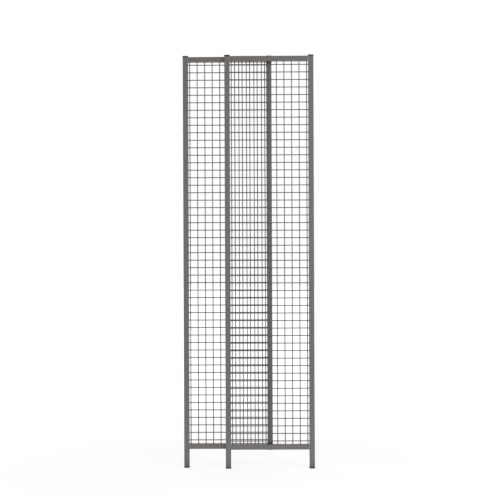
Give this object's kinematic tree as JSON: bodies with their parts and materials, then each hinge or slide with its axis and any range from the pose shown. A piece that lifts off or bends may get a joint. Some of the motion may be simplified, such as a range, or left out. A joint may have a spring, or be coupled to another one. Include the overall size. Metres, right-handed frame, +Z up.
{
  "type": "telescopic machine guard fence panel",
  "caption": "Tall welded tube-and-mesh guard panel in two overlapping frames, one sliding behind the other to set the width, standing on capped post legs.",
  "frame": {"origin": "middle of the underside of the front left foot cap, on the floor", "axes": "+Z up along the posts, +X along the fence to the right as seen from the front, +Y from the front frame to the rear frame"},
  "size_m": [0.6971, 0.0802, 2.196],
  "materials": {
    "frame_powder_coat": "satin grey powder coat",
    "mesh_powder_coat": "satin grey powder coat on welded wire",
    "black_plastic": "moulded black plastic",
    "zinc_plate": "bright zinc plate"
  },
  "bodies": {
    "front_frame": {"front_left_post": "frame_powder_coat", "front_right_post": "frame_powder_coat", "front_top_rail": "frame_powder_coat", "front_bottom_rail": "frame_powder_coat", "front_mesh_upper": "mesh_powder_coat", "front_mesh_lower": "mesh_powder_coat", "front_left_top_cap": "black_plastic", "front_right_top_cap": "black_plastic", "front_left_foot_cap": "black_plastic", "front_right_foot_cap": "black_plastic", "upper_guide": "frame_powder_coat", "lower_guide": "frame_powder_coat", "upper_clamp_bolt": "zinc_plate", "lower_clamp_bolt": "zinc_plate"},
    "rear_frame": {"rear_left_post": "frame_powder_coat", "rear_right_stile": "frame_powder_coat", "rear_top_rail": "frame_powder_coat", "rear_bottom_rail": "frame_powder_coat", "rear_mesh_upper": "mesh_powder_coat", "rear_mesh_lower": "mesh_powder_coat", "rear_left_top_cap": "black_plastic", "rear_left_foot_cap": "black_plastic", "rear_stile_top_plug": "black_plastic", "rear_stile_bottom_plug": "black_plastic", "upper_slide_shoe": "black_plastic", "lower_slide_shoe": "black_plastic"}
  },
  "joints": [
    {"name": "telescopic_slide", "type": "slide", "parent": "front_frame", "child": "rear_frame", "axis": [1, 0, 0], "range_m": [-0.185, 0.185]}
  ]
}
